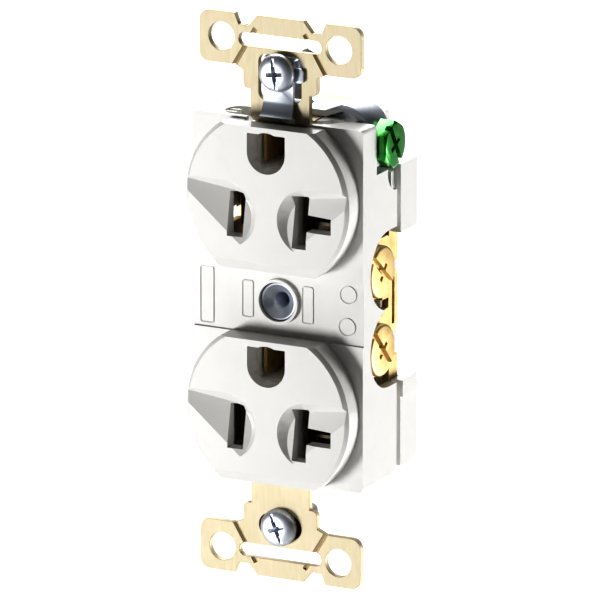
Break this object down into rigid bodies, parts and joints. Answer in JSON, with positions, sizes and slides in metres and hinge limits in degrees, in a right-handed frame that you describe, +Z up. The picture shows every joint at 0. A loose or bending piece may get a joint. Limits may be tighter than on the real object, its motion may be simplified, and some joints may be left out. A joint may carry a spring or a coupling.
{
  "type": "duplex wall outlet",
  "caption": "Duplex grounded wall outlet with round faces on a wrap-around strap with ears, side terminal screws and a hex ground screw.",
  "frame": {"origin": "on the axis of the centre threaded tube for the wall-plate screw, in the plane of the strap's front surface", "axes": "+Z up with the ground openings above the blade slots, -Y out of the wall towards the user, +X to the right as the user faces it"},
  "size_m": [0.0359, 0.0277, 0.1026],
  "materials": {
    "moulding": "glossy moulded nylon",
    "strap_steel": "pale yellow zinc plated steel",
    "bare_steel": "satin spring steel",
    "screw_steel": "bright zinc plated",
    "brass": "stamped and tumbled",
    "green_steel": "green dyed zinc plating",
    "fibre": "pressed fibre card"
  },
  "bodies": {
    "housing": {"front_cover": "moulding", "rear_housing": "moulding", "mounting_strap": "strap_steel", "ground_lug": "bare_steel", "lug_rivet": "bare_steel", "self_grounding_clip": "bare_steel", "lower_screw_washer": "fibre", "center_rivet": "screw_steel", "line_bus": "brass", "neutral_bus": "brass", "line_contact_upper": "brass", "line_contact_lower": "brass", "neutral_contact_upper": "brass", "neutral_contact_lower": "brass", "contact_rivets": "brass", "ground_contact_upper": "brass", "ground_contact_lower": "brass", "ground_contact_rivets": "screw_steel", "housing_screws": "screw_steel"},
    "upper_box_screw": {"upper_box_screw": "screw_steel"},
    "lower_box_screw": {"lower_box_screw": "screw_steel"},
    "line_screw_upper": {"line_screw_upper": "screw_steel"},
    "line_screw_lower": {"line_screw_lower": "screw_steel"},
    "neutral_screw_upper": {"neutral_screw_upper": "brass"},
    "neutral_screw_lower": {"neutral_screw_lower": "brass"},
    "ground_screw": {"ground_screw": "green_steel"}
  },
  "joints": [
    {"name": "upper_box_screw_travel", "type": "slide", "parent": "housing", "child": "upper_box_screw", "axis": [0, -1, 0], "range_m": [0, 0.006]},
    {"name": "lower_box_screw_travel", "type": "slide", "parent": "housing", "child": "lower_box_screw", "axis": [0, -1, 0], "range_m": [0, 0.006]},
    {"name": "line_screw_upper_travel", "type": "slide", "parent": "housing", "child": "line_screw_upper", "axis": [-1, 0, 0], "range_m": [0, 0.004]},
    {"name": "line_screw_lower_travel", "type": "slide", "parent": "housing", "child": "line_screw_lower", "axis": [-1, 0, 0], "range_m": [0, 0.004]},
    {"name": "neutral_screw_upper_travel", "type": "slide", "parent": "housing", "child": "neutral_screw_upper", "axis": [1, 0, 0], "range_m": [0, 0.004]},
    {"name": "neutral_screw_lower_travel", "type": "slide", "parent": "housing", "child": "neutral_screw_lower", "axis": [1, 0, 0], "range_m": [0, 0.004]},
    {"name": "ground_screw_travel", "type": "slide", "parent": "housing", "child": "ground_screw", "axis": [1, 0, 0], "range_m": [0, 0.004]}
  ]
}
